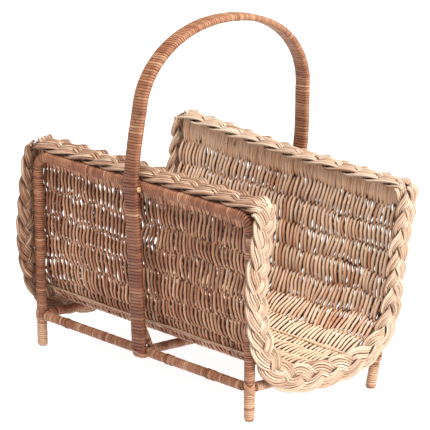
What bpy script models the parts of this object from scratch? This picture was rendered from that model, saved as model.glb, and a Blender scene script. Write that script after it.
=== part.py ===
"""Woven magazine rack: two leaning side frames, a ladder of bottom rails, a hoop
handle, and a U-shaped woven tray edged with a plaited border.

Frame: X runs along the trough (length), Y across it, Z up.  The origin is on the
floor, under the middle of the rack.  "near" is the -Y side, "far" the +Y side,
"left" the -X end, "right" the +X end.  All sizes are in metres.
"""
import math

import bmesh
import bpy
from mathutils import Vector
from mathutils.geometry import tessellate_polygon

# ---------------------------------------------------------------- dimensions
GAP = 0.0003                # clearance between touching pieces

# wrapped frame rods
POST_CORE_R = 0.0056        # bent rod inside the wrapping
POST_WRAP_R = 0.0070        # outside of the cane wrapping
RAIL_CORE_R = 0.0049
RAIL_WRAP_R = 0.0063
CORE_SIDES = 10

# side frames (inverted U, leaning outwards)
FOOT_X = 0.1900             # half distance between the feet, along X
FOOT_Y = 0.1200             # half distance between the feet, along Y
TOP_X = 0.1915              # half length of the top bar's posts, at the top bar
TOP_Y = 0.1500              # half distance between the top bars
TOP_Z = 0.2680              # height of the top bars' centre line
CORNER_R = 0.0200           # bend radius between post and top bar

# bottom rails
RAIL_Z = 0.0439
MIDDLE_RAIL_X = 0.0040

# hoop handle: three rods side by side under one wrapping
HANDLE_ROD_R = 0.0034
HANDLE_ROD_PITCH = 0.0072
HANDLE_HALF_W = 0.0118      # half width of the wrapped strap, along X
HANDLE_HALF_T = 0.0046      # half thickness of the wrapped strap
HANDLE_BASE_X = 0.0070
HANDLE_TOP_X = -0.0040
HANDLE_ARCH_Y = 0.1577      # half span of the arch
HANDLE_ARCH_Z = 0.3610      # height where the arch springs
HANDLE_APEX_Z = 0.4743      # centre line at the apex
HANDLE_ARCH_N = 2.1         # superellipse exponent of the arch
HANDLE_FOOT_Z = 0.0372      # lower end of the strap, outside the long rail

# woven tray
TRAY_T = 0.0080             # thickness of the weave
TRAY_HALF_L = 0.1985
TRAY_TOP_Z = 0.2754
TRAY_BEND_Z = 0.1220        # where the wall starts to bend into the floor
TRAY_FLOOR_Y = 0.0425       # half width of the flat floor
STAKE_R = 0.0021
STAKE_BORE_R = 0.0026
STAKE_COUNT_ALL = 20        # lengthwise stakes round the whole U, the rim pair included
FIRST_STAKE = 0.0089        # from the tray's top edge down to the middle of the rim stake
SEAM_R = 0.0016
OUTER_SEAM_Z = 0.0840
INNER_SEAM_Y = 0.0490

# plaited border
BRAID_HALF_T = 0.0075
TOP_BRAID_HALF_W = 0.0165
TOP_BRAID_Y = 0.1395
NEAR_TOP_BRAID_Z = (0.2845, 0.2845)         # at its left and right ends
FAR_TOP_BRAID_Z = (0.2915, 0.2858)          # the far rim rises a little to the left
TOP_BRAID_TILT = math.radians(16.0)         # both faces turn towards the near side
END_BRAID_X = 0.2065
END_BRAID_HALF_W = 0.0190
END_BRAID_PATH = (          # (y, z) centre line of the end braids, near to far
    (-0.1395, 0.2920), (-0.1400, 0.2620), (-0.1440, 0.2150), (-0.1450, 0.1850),
    (-0.1410, 0.1550), (-0.1330, 0.1250), (-0.1150, 0.0860), (-0.0840, 0.0590),
    (-0.0440, 0.0470), (0.0000, 0.0450), (0.0400, 0.0470), (0.0680, 0.0515),
    (0.0950, 0.0620), (0.1140, 0.0780), (0.1250, 0.1000), (0.1290, 0.1250),
    (0.1295, 0.1550), (0.1310, 0.1850), (0.1350, 0.2150), (0.1400, 0.2620),
)
END_BRAID_FAR_TOP = (0.2960, 0.2870)        # height of the far top of the left and right ones

# cane lashings
LASH_T = 0.0016
CORNER_LASH_HALF_H = 0.0100
HANDLE_LASH_HALF_H = 0.0060

LEAN = math.atan((TOP_Y - FOOT_Y) / TOP_Z)
TOP_S = TOP_Z / math.cos(LEAN)      # slanted height of the top bar
TRAY_FLOOR_Z = RAIL_Z + RAIL_WRAP_R + GAP + TRAY_T / 2

# ---------------------------------------------------------------- materials
COLOURS = {
    "frame_cane": (0.41, 0.17, 0.08, 1.0),
    "handle_cane": (0.40, 0.15, 0.07, 1.0),
    "core_rod": (0.50, 0.32, 0.20, 1.0),
    "tray_willow": (0.55, 0.28, 0.16, 1.0),
    "border_willow": (0.74, 0.52, 0.36, 1.0),
    "lashing_cane": (0.52, 0.26, 0.14, 1.0),
}
MATERIALS = {}


def material(slot, roughness=0.55):
    if slot not in MATERIALS:
        mat = bpy.data.materials.new(slot)
        mat.use_nodes = True
        bsdf = mat.node_tree.nodes["Principled BSDF"]
        bsdf.inputs["Base Color"].default_value = COLOURS[slot]
        bsdf.inputs["Roughness"].default_value = roughness
        bsdf.inputs["Metallic"].default_value = 0.0
        MATERIALS[slot] = mat
    return MATERIALS[slot]


# ---------------------------------------------------------------- mesh helpers
def finish(name, bm, slot, sharp=35.0):
    bmesh.ops.recalc_face_normals(bm, faces=bm.faces)
    if bm.calc_volume(signed=True) < 0:
        bmesh.ops.reverse_faces(bm, faces=bm.faces)
    mesh = bpy.data.meshes.new(name)
    bm.to_mesh(mesh)
    bm.free()
    mesh.shade_smooth()
    mesh.set_sharp_from_angle(angle=math.radians(sharp))
    obj = bpy.data.objects.new(name, mesh)
    obj.data.materials.append(material(slot))
    bpy.context.scene.collection.objects.link(obj)
    return obj


def circle(radius, sides=CORE_SIDES):
    return [(radius * math.cos(2 * math.pi * (k + 0.5) / sides),
             radius * math.sin(2 * math.pi * (k + 0.5) / sides)) for k in range(sides)]


def oval(half_p, half_q, sides=14, power=2.3):
    pts = []
    for k in range(sides):
        a = 2 * math.pi * (k + 0.5) / sides
        c, s = math.cos(a), math.sin(a)
        pts.append((half_p * math.copysign(abs(c) ** (2 / power), c),
                    half_q * math.copysign(abs(s) ** (2 / power), s)))
    return pts


def strap(half_w, half_t, corner=3):
    """A flat strap with round edges: p is across the width, q across the thickness."""
    pts = []
    for side in (1, -1):
        for k in range(corner + 1):
            a = -math.pi / 2 + math.pi * k / corner
            pts.append((side * (half_w - half_t + half_t * math.cos(a)),
                        side * half_t * math.sin(a)))
    return pts


def tangents(path):
    out = []
    for k in range(len(path)):
        a = path[max(k - 1, 0)]
        b = path[min(k + 1, len(path) - 1)]
        out.append((b - a).normalized())
    return out


def rings(path, section, across, cut_start=None, cut_end=None):
    """Rings of points along a path.  p goes along `across`, q along tangent x across.
    A cut is (point, normal) of a plane that the end ring is slid on to."""
    tans = tangents(path)
    result = []
    for k, (point, tan) in enumerate(zip(path, tans)):
        p_dir = (across - tan * across.dot(tan)).normalized()
        q_dir = tan.cross(p_dir)
        ring = [point + p_dir * p + q_dir * q for p, q in section]
        cut = cut_start if k == 0 else cut_end if k == len(path) - 1 else None
        if cut:
            base, normal = cut
            ring = [v - tan * ((v - base).dot(normal) / tan.dot(normal)) for v in ring]
        result.append(ring)
    return result


def rod(name, slot, path, section, across, cut_start=None, cut_end=None):
    """A solid rod."""
    bm = bmesh.new()
    all_rings = rings(path, section, across, cut_start, cut_end)
    verts = [[bm.verts.new(v) for v in ring] for ring in all_rings]
    n = len(section)
    for lo, hi in zip(verts, verts[1:]):
        for k in range(n):
            bm.faces.new((lo[k], lo[(k + 1) % n], hi[(k + 1) % n], hi[k]))
    bm.faces.new(list(reversed(verts[0])))
    bm.faces.new(verts[-1])
    return finish(name, bm, slot)


def sleeve(name, slot, path, outer, inner, across, cut_start=None, cut_end=None):
    """A wrapping: an open-ended tube round whatever it is wound on."""
    bm = bmesh.new()
    out = [[bm.verts.new(v) for v in r] for r in rings(path, outer, across, cut_start, cut_end)]
    inn = [[bm.verts.new(v) for v in r] for r in rings(path, inner, across, cut_start, cut_end)]
    n = len(outer)
    for k in range(n):
        j = (k + 1) % n
        for lo, hi in zip(out, out[1:]):
            bm.faces.new((lo[k], lo[j], hi[j], hi[k]))
        for lo, hi in zip(inn, inn[1:]):
            bm.faces.new((lo[j], lo[k], hi[k], hi[j]))
        bm.faces.new((out[0][j], out[0][k], inn[0][k], inn[0][j]))
        bm.faces.new((out[-1][k], out[-1][j], inn[-1][j], inn[-1][k]))
    return finish(name, bm, slot)


def smooth(points, count):
    """An evenly spaced smooth curve through the given points (centripetal Catmull-Rom)."""
    pts = [Vector(p) for p in points]
    pts = [pts[0] * 2 - pts[1]] + pts + [pts[-1] * 2 - pts[-2]]
    dense = []
    for k in range(1, len(pts) - 2):
        p0, p1, p2, p3 = pts[k - 1:k + 3]
        t0 = 0.0
        t1 = t0 + (p1 - p0).length ** 0.5
        t2 = t1 + (p2 - p1).length ** 0.5
        t3 = t2 + (p3 - p2).length ** 0.5
        for j in range(16):
            t = t1 + (t2 - t1) * j / 16
            a1 = p0 * ((t1 - t) / (t1 - t0)) + p1 * ((t - t0) / (t1 - t0))
            a2 = p1 * ((t2 - t) / (t2 - t1)) + p2 * ((t - t1) / (t2 - t1))
            a3 = p2 * ((t3 - t) / (t3 - t2)) + p3 * ((t - t2) / (t3 - t2))
            b1 = a1 * ((t2 - t) / (t2 - t0)) + a2 * ((t - t0) / (t2 - t0))
            b2 = a2 * ((t3 - t) / (t3 - t1)) + a3 * ((t - t1) / (t3 - t1))
            dense.append(b1 * ((t2 - t) / (t2 - t1)) + b2 * ((t - t1) / (t2 - t1)))
    dense.append(pts[-2])
    return resample(dense, count)


def resample(dense, count):
    length = [0.0]
    for a, b in zip(dense, dense[1:]):
        length.append(length[-1] + (b - a).length)
    out, k = [], 0
    for j in range(count):
        goal = length[-1] * j / (count - 1)
        while k < len(dense) - 2 and length[k + 1] < goal:
            k += 1
        f = (goal - length[k]) / (length[k + 1] - length[k])
        out.append(dense[k].lerp(dense[k + 1], f))
    return out


# ---------------------------------------------------------------- side frames
def frame_point(x, s, side):
    """x along the bar, s up the slope; side is -1 for near and +1 for far."""
    return Vector((x, side * (FOOT_Y + s * math.sin(LEAN)), s * math.cos(LEAN)))


def post_x(s):
    return FOOT_X + (TOP_X - FOOT_X) * s / TOP_S


BEND_S = TOP_S - CORNER_R
BEND_X = post_x(BEND_S)


def bend_points(end, side, first_post):
    """The rounded corner at the left (-1) or right (+1) end of a side frame."""
    steps = 6
    pts = []
    for k in range(steps + 1):
        a = math.pi / 2 * k / steps
        pts.append(frame_point(end * (BEND_X - CORNER_R + CORNER_R * math.cos(a)),
                               BEND_S + CORNER_R * math.sin(a), side))
    return pts if first_post else list(reversed(pts))


def side_frame(word, side):
    normal = Vector((0.0, math.cos(LEAN), -side * math.sin(LEAN)))
    floor = (Vector((0, 0, 0)), Vector((0, 0, 1)))
    wrap_floor = (Vector((0, 0, 0.0006)), Vector((0, 0, 1)))
    left = [frame_point(-FOOT_X, 0, side)] + bend_points(-1, side, True)
    right = bend_points(1, side, False) + [frame_point(FOOT_X, 0, side)]
    rod(word + "_frame_rod", "core_rod", left + right, circle(POST_CORE_R), normal, floor, floor)
    outer, inner = circle(POST_WRAP_R), circle(POST_CORE_R + GAP)
    uphill = Vector((0.0, side * math.sin(LEAN), math.cos(LEAN)))
    bar = bend_points(-1, side, True) + bend_points(1, side, False)
    sleeve(word + "_top_bar_wrap", "frame_cane", bar, outer, inner, normal,
           cut_start=(bar[0], uphill), cut_end=(bar[-1], uphill))
    for end, name in ((-1, "left"), (1, "right")):
        top = BEND_S - GAP
        sleeve(word + "_" + name + "_post_wrap", "frame_cane",
               [frame_point(end * FOOT_X, 0, side), frame_point(end * post_x(top), top, side)],
               outer, inner, normal, cut_start=wrap_floor,
               cut_end=(frame_point(0, top, side), uphill))


# ---------------------------------------------------------------- bottom rails
RAIL_S = RAIL_Z / math.cos(LEAN)
RAIL_Y = FOOT_Y + RAIL_S * math.sin(LEAN)


def rail(name, start, end, across):
    inset = (end - start).normalized() * 0.0004
    rod(name, "core_rod", [start, end], circle(RAIL_CORE_R), across)
    sleeve(name + "_wrap", "frame_cane", [start + inset, end - inset],
           circle(RAIL_WRAP_R), circle(RAIL_CORE_R + GAP), across)


def bottom_rails():
    half = post_x(RAIL_S) - POST_WRAP_R - 0.0005
    for word, side in (("near", -1), ("far", 1)):
        rail(word + "_long_rail", Vector((-half, side * RAIL_Y, RAIL_Z)),
             Vector((half, side * RAIL_Y, RAIL_Z)), Vector((0, 0, 1)))
    low = RAIL_Z - RAIL_WRAP_R
    end_y = FOOT_Y + low * math.tan(LEAN) - POST_WRAP_R / math.cos(LEAN) - 0.0005
    mid_y = RAIL_Y - RAIL_WRAP_R - 0.0005
    for word, x, y in (("left", -post_x(RAIL_S), end_y), ("middle", MIDDLE_RAIL_X, mid_y),
                       ("right", post_x(RAIL_S), end_y)):
        rail(word + "_cross_rail", Vector((x, -y, RAIL_Z)), Vector((x, y, RAIL_Z)),
             Vector((0, 0, 1)))


# ---------------------------------------------------------------- hoop handle
HANDLE_LOW_Y = RAIL_Y + RAIL_WRAP_R + GAP + HANDLE_HALF_T
HANDLE_BAR_Y = TOP_Y + POST_WRAP_R + GAP + HANDLE_HALF_T + 0.0003
HANDLE_SLOPE = (HANDLE_BAR_Y - HANDLE_LOW_Y) / (TOP_Z - RAIL_Z)


def handle_leg(z):
    """Point on the near leg's centre line below the top bar."""
    f = (z - RAIL_Z) / (TOP_Z - RAIL_Z)
    return Vector((HANDLE_BASE_X + (HANDLE_TOP_X - HANDLE_BASE_X) * f,
                   -(HANDLE_LOW_Y + HANDLE_SLOPE * (z - RAIL_Z)), z))


def handle_path(count=41):
    near = [handle_leg(z) for z in (HANDLE_FOOT_Z, 0.1000, 0.1600, 0.2200, TOP_Z)]
    near.append(Vector((HANDLE_TOP_X, -(HANDLE_BAR_Y + 0.0006), 0.3050)))
    arch = []
    steps = 16
    for k in range(steps + 1):
        a = math.pi * k / steps
        c, s = math.cos(a), math.sin(a)
        e = 2 / HANDLE_ARCH_N
        arch.append(Vector((HANDLE_TOP_X,
                            -HANDLE_ARCH_Y * math.copysign(abs(c) ** e, c),
                            HANDLE_ARCH_Z + (HANDLE_APEX_Z - HANDLE_ARCH_Z) * abs(s) ** e)))
    far = [Vector((p.x, -p.y, p.z)) for p in reversed(near)]
    return smooth(near + arch + far, count)


def handle():
    path = handle_path()
    across = Vector((1, 0, 0))
    for word, p in (("left", -HANDLE_ROD_PITCH), ("middle", 0.0), ("right", HANDLE_ROD_PITCH)):
        section = [(a + p, b) for a, b in circle(HANDLE_ROD_R, 6)]
        rod("handle_" + word + "_rod", "core_rod", path, section, across)
    inner_t = HANDLE_ROD_R + GAP
    inner_w = HANDLE_ROD_PITCH + inner_t
    short = [path[0].lerp(path[1], 0.02)] + path[1:-1] + [path[-1].lerp(path[-2], 0.02)]
    sleeve("handle_wrap", "handle_cane", short, strap(HANDLE_HALF_W, HANDLE_HALF_T),
           strap(inner_w, inner_t), across)


def handle_braces():
    """A short wrapped strut from each handle leg down to the middle cross rail."""
    for word, side in (("near", -1), ("far", 1)):
        top = Vector((HANDLE_BASE_X - 0.001, side * 0.1325, 0.0790))
        foot = Vector((HANDLE_BASE_X - 0.001, side * 0.1165, RAIL_Z + RAIL_WRAP_R + 0.0004))
        rod(word + "_handle_brace", "frame_cane", [top, foot], circle(0.0045, 10),
            Vector((1, 0, 0)), cut_start=(top, Vector((0, 1, 0))),
            cut_end=(foot, Vector((0, 0, 1))))


# ---------------------------------------------------------------- woven tray
def wall_y(z):
    """Distance of the wall's centre line from the middle plane, at height z."""
    top = TOP_Y - POST_WRAP_R / math.cos(LEAN) - TRAY_T / 2 - 0.0004
    return top - (TOP_Z - z) * math.tan(LEAN)


def tray_half(steps=9):
    """Near half of the U, from the top edge to the middle of the floor: (y, z) points."""
    p0 = Vector((-wall_y(TRAY_BEND_Z), TRAY_BEND_Z))
    p3 = Vector((-TRAY_FLOOR_Y, TRAY_FLOOR_Z))
    down = Vector((math.sin(LEAN), -math.cos(LEAN)))
    p1 = p0 + down * 0.0373
    p2 = p3 + Vector((-0.0442, 0.0))
    pts = [Vector((-wall_y(TRAY_TOP_Z), TRAY_TOP_Z))]
    for k in range(steps + 1):
        t = k / steps
        pts.append(p0 * (1 - t) ** 3 + p1 * (3 * t * (1 - t) ** 2)
                   + p2 * (3 * t * t * (1 - t)) + p3 * t ** 3)
    pts.append(Vector((0.0, TRAY_FLOOR_Z)))
    return pts


def tray_line(steps=9):
    half = tray_half(steps)
    return half + [Vector((-p.x, p.y)) for p in reversed(half[:-1])]


def tray_lengths():
    """A fine centre line of the U and the length along it at each point."""
    line = tray_line(24)
    lengths = [0.0]
    for a, b in zip(line, line[1:]):
        lengths.append(lengths[-1] + (b - a).length)
    return line, lengths


def tray_at(fraction):
    """Centre point and outward normal of the U at a fraction of its length."""
    line, lengths = tray_lengths()
    goal = fraction * lengths[-1]
    for k in range(len(line) - 1):
        if lengths[k + 1] >= goal or k == len(line) - 2:
            f = (goal - lengths[k]) / (lengths[k + 1] - lengths[k])
            tan = (line[k + 1] - line[k]).normalized()
            return line[k].lerp(line[k + 1], f), Vector((tan.y, -tan.x))


def tray_fraction(test):
    """Fraction of the U's length where test(point) first turns true."""
    for k in range(2001):
        point, normal = tray_at(k / 2000)
        if test(point):
            return k / 2000
    return 1.0


def stake_fractions():
    """Evenly spaced from rim to rim.  The rim pair is inside the border and is part
    of the tray's own solid, so it is left out here."""
    total = tray_lengths()[1][-1]
    pitch = (total - 2 * FIRST_STAKE) / (STAKE_COUNT_ALL - 1)
    return [(FIRST_STAKE + k * pitch) / total for k in range(1, STAKE_COUNT_ALL - 1)]


def woven_tray():
    line = tray_line()
    normals = []
    for k in range(len(line)):
        t = (line[min(k + 1, len(line) - 1)] - line[max(k - 1, 0)]).normalized()
        normals.append(Vector((t.y, -t.x)))
    outline = [p + n * TRAY_T / 2 for p, n in zip(line, normals)]
    outline += [p - n * TRAY_T / 2 for p, n in reversed(list(zip(line, normals)))]
    loops = [outline]
    held = stake_fractions()
    for f in held:
        centre, normal = tray_at(f)
        loops.append([centre + Vector(c) for c in circle(STAKE_BORE_R, 8)])
    bm = bmesh.new()
    ends = []
    for x in (-TRAY_HALF_L, TRAY_HALF_L):
        ends.append([[bm.verts.new((x, p.x, p.y)) for p in loop] for loop in loops])
    for a, b in zip(*ends):
        n = len(a)
        for k in range(n):
            bm.faces.new((a[k], a[(k + 1) % n], b[(k + 1) % n], b[k]))
    flat = [[Vector((p.x, p.y, 0.0)) for p in loop] for loop in loops]
    for tri in tessellate_polygon(flat):
        for end in ends:
            verts = [v for loop in end for v in loop]
            bm.faces.new([verts[i] for i in tri])
    finish("woven_tray", bm, "tray_willow")
    half = TRAY_HALF_L - 0.0002
    for number, f in enumerate(held, 1):
        centre, normal = tray_at(f)
        rod("stake_%02d" % number, "tray_willow",
            [Vector((-half, centre.x, centre.y)), Vector((half, centre.x, centre.y))],
            circle(STAKE_R, 8), Vector((0, 1, 0)))


def seams():
    """Light lengthwise rods laid on the weave where the walls turn into the floor."""
    offset = TRAY_T / 2 + GAP + SEAM_R + 0.0002
    outer = tray_fraction(lambda p: p.y < OUTER_SEAM_Z)
    inner = tray_fraction(lambda p: p.x > -INNER_SEAM_Y)
    for word, fraction, way in (("near_outer", outer, 1), ("far_outer", 1 - outer, 1),
                                ("near_inner", inner, -1), ("far_inner", 1 - inner, -1)):
        centre, normal = tray_at(fraction)
        spot = centre + normal * (way * offset)
        rod(word + "_seam_rod", "border_willow",
            [Vector((-0.1960, spot.x, spot.y)), Vector((0.1960, spot.x, spot.y))],
            circle(SEAM_R, 6), Vector((0, 1, 0)))


# ---------------------------------------------------------------- plaited border
def braids():
    half = TRAY_HALF_L - 0.0002
    # the width rises towards the far side
    across = Vector((0, math.cos(TOP_BRAID_TILT), math.sin(TOP_BRAID_TILT)))
    for word, side, (left_z, right_z) in (("near", -1, NEAR_TOP_BRAID_Z),
                                          ("far", 1, FAR_TOP_BRAID_Z)):
        rod(word + "_top_braid", "border_willow",
            [Vector((-half, side * TOP_BRAID_Y, left_z)),
             Vector((half, side * TOP_BRAID_Y, right_z))],
            oval(TOP_BRAID_HALF_W, BRAID_HALF_T), across)
    for word, x, far_top in (("left", -END_BRAID_X, END_BRAID_FAR_TOP[0]),
                             ("right", END_BRAID_X, END_BRAID_FAR_TOP[1])):
        line = END_BRAID_PATH + ((0.1395, far_top),)
        shifted = [p + Vector((x, 0, 0)) for p in smooth([(0.0, y, z) for y, z in line], 37)]
        up = Vector((0, 0, 1))
        rod(word + "_end_braid", "border_willow", shifted,
            oval(BRAID_HALF_T, END_BRAID_HALF_W), Vector((1, 0, 0)),
            cut_start=(shifted[0], up), cut_end=(shifted[-1], up))


# ---------------------------------------------------------------- lashings
def corner_lashings():
    """A C of cane round the outside of each post, where the two rails meet it."""
    for word, side in (("near", -1), ("far", 1)):
        for name, end in (("left", -1), ("right", 1)):
            low = RAIL_S - CORNER_LASH_HALF_H
            high = RAIL_S + CORNER_LASH_HALF_H
            path = [frame_point(end * post_x(low), low, side),
                    frame_point(end * post_x(high), high, side)]
            tan = (path[1] - path[0]).normalized()
            across = Vector((1, 0, 0))
            p_dir = (across - tan * across.dot(tan)).normalized()
            q_dir = tan.cross(p_dir)
            aim = Vector((end, side, 0)).normalized()
            centre = math.atan2(aim.dot(q_dir), aim.dot(p_dir))
            spread = [centre + math.radians(a) for a in (-57, -38, -19, 0, 19, 38, 57)]
            r_in, r_out = POST_WRAP_R + GAP + 0.0001, POST_WRAP_R + GAP + LASH_T
            section = [(r_out * math.cos(a), r_out * math.sin(a)) for a in spread]
            section += [(r_in * math.cos(a), r_in * math.sin(a)) for a in reversed(spread)]
            rod(word + "_" + name + "_corner_lashing", "lashing_cane", path, section, across)


def handle_lashings():
    """A C of cane over the handle, tied back to the long rail or the top bar."""
    for word, side in (("near", -1), ("far", 1)):
        for place, z, reach in (("base", RAIL_Z, 0.0092), ("top", TOP_Z, 0.0092)):
            low, high = handle_leg(z - HANDLE_LASH_HALF_H), handle_leg(z + HANDLE_LASH_HALF_H)
            if side > 0:
                low, high = Vector((low.x, -low.y, low.z)), Vector((high.x, -high.y, high.z))
            across = Vector((1, 0, 0))
            tan = (high - low).normalized()
            p_dir = (across - tan * across.dot(tan)).normalized()
            q_dir = tan.cross(p_dir)
            out = 1 if q_dir.y * side > 0 else -1
            w_in, w_out = HANDLE_HALF_W + GAP + 0.0001, HANDLE_HALF_W + GAP + LASH_T
            t_in, t_out = HANDLE_HALF_T + GAP + 0.0001, HANDLE_HALF_T + GAP + LASH_T
            back = reach - HANDLE_HALF_T - GAP
            section = [(-w_out, -back), (-w_out, t_out - 0.002), (-w_out + 0.002, t_out),
                       (w_out - 0.002, t_out), (w_out, t_out - 0.002), (w_out, -back),
                       (w_in, -back), (w_in, t_in), (-w_in, t_in), (-w_in, -back)]
            section = [(p, q * out) for p, q in section]
            rod("%s_handle_%s_lashing" % (word, place), "lashing_cane", [low, high], section,
                across)


def main():
    for obj in list(bpy.data.objects):
        bpy.data.objects.remove(obj, do_unlink=True)
    side_frame("near", -1)
    side_frame("far", 1)
    bottom_rails()
    handle()
    handle_braces()
    woven_tray()
    seams()
    braids()
    corner_lashings()
    handle_lashings()


main()
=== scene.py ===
"""Looks of the woven magazine rack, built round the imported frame."""
import math

import bpy
import numpy as np
from mathutils import Matrix, Vector


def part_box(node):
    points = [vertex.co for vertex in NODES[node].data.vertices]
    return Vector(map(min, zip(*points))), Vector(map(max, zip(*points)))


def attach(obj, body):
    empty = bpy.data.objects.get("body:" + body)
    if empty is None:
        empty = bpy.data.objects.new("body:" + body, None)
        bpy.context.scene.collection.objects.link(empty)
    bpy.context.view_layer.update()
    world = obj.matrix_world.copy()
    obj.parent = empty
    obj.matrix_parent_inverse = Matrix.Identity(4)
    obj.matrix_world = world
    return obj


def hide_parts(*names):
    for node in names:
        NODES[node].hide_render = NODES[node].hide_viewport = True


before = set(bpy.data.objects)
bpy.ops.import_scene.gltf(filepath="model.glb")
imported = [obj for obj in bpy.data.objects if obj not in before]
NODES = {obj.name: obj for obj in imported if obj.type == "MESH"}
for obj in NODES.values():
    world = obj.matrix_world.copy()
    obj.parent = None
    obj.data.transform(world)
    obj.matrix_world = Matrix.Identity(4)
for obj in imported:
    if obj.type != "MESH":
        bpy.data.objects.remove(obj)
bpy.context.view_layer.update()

RNG = np.random.default_rng(20240611)
TAU = 2 * math.pi

# ------------------------------------------------------------------ shared sizes (metres)
POST_R, RAIL_R = 0.0070, 0.0063
POST_CORE, RAIL_CORE = 0.0056, 0.0049
FOOT_X, FOOT_Y, TOP_X, TOP_Y, TOP_Z, CORNER_R = 0.1900, 0.1200, 0.1915, 0.1500, 0.2680, 0.0200
LEAN = math.atan((TOP_Y - FOOT_Y) / TOP_Z)
TOP_S = TOP_Z / math.cos(LEAN)
RAIL_Z, MIDDLE_X = 0.0439, 0.0040
RAIL_S = RAIL_Z / math.cos(LEAN)
RAIL_Y = FOOT_Y + RAIL_S * math.sin(LEAN)
HALF_W, HALF_T = 0.0118, 0.0046
HANDLE_LOW_Y = RAIL_Y + RAIL_R + 0.0003 + HALF_T
HANDLE_BAR_Y = TOP_Y + POST_R + 0.0006 + HALF_T
HANDLE_SLOPE = (HANDLE_BAR_Y - HANDLE_LOW_Y) / (TOP_Z - RAIL_Z)
TRAY_T = 0.0080
TRAY_TOP_Z, TRAY_BEND_Z, FLOOR_Y = 0.2754, 0.1220, 0.0425
FLOOR_Z = RAIL_Z + RAIL_R + 0.0003 + TRAY_T / 2
STAKES = 20
FIRST_STAKE = 0.0089
END_X = 0.2065


# ------------------------------------------------------------------ small numeric helpers
def unit(a):
    return a / np.maximum(np.linalg.norm(a, axis=-1, keepdims=True), 1e-12)


def arc(path):
    d = np.linalg.norm(np.diff(path, axis=0), axis=1)
    return np.concatenate([[0.0], np.cumsum(d)])


def at(path, s):
    """Points of a polyline at arc lengths s."""
    length = arc(path)
    return np.stack([np.interp(s, length, path[:, k]) for k in range(path.shape[1])], -1)


def catmull(points, per=16, closed=False):
    pts = np.asarray(points, float)
    if closed:
        pts = np.concatenate([pts[-1:], pts, pts[:2]])
    else:
        pts = np.concatenate([2 * pts[:1] - pts[1:2], pts, 2 * pts[-1:] - pts[-2:-1]])
    out = []
    for k in range(1, len(pts) - 2):
        p0, p1, p2, p3 = pts[k - 1:k + 3]
        t0 = 0.0
        t1 = t0 + np.linalg.norm((p1 - p0)[:3]) ** 0.5
        t2 = t1 + np.linalg.norm((p2 - p1)[:3]) ** 0.5
        t3 = t2 + np.linalg.norm((p3 - p2)[:3]) ** 0.5
        t = np.linspace(t1, t2, per, endpoint=False)[:, None]
        a1 = (t1 - t) / (t1 - t0) * p0 + (t - t0) / (t1 - t0) * p1
        a2 = (t2 - t) / (t2 - t1) * p1 + (t - t1) / (t2 - t1) * p2
        a3 = (t3 - t) / (t3 - t2) * p2 + (t - t2) / (t3 - t2) * p3
        b1 = (t2 - t) / (t2 - t0) * a1 + (t - t0) / (t2 - t0) * a2
        b2 = (t3 - t) / (t3 - t1) * a2 + (t - t1) / (t3 - t1) * a3
        out.append((t2 - t) / (t2 - t1) * b1 + (t - t1) / (t2 - t1) * b2)
    if not closed:
        out.append(pts[-2:-1])
    return np.concatenate(out)


def smooth_noise(length, step, amount, rng=RNG, start=0.0):
    """A smooth random function of arc length: returns f(s)."""
    n = max(int(length / step) + 6, 8)
    knots = rng.normal(0, amount, n)
    xs = (np.arange(n) - 2) * step + start

    def value(s):
        t = (np.asarray(s) - xs[0]) / step
        k = np.clip(np.floor(t).astype(int), 0, n - 2)
        f = t - k
        f = f * f * (3 - 2 * f)
        return knots[k] * (1 - f) + knots[k + 1] * f
    return value


def tangents(path):
    t = np.empty_like(path)
    t[1:-1] = path[2:] - path[:-2]
    t[0] = path[1] - path[0]
    t[-1] = path[-1] - path[-2]
    return unit(t)


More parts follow.
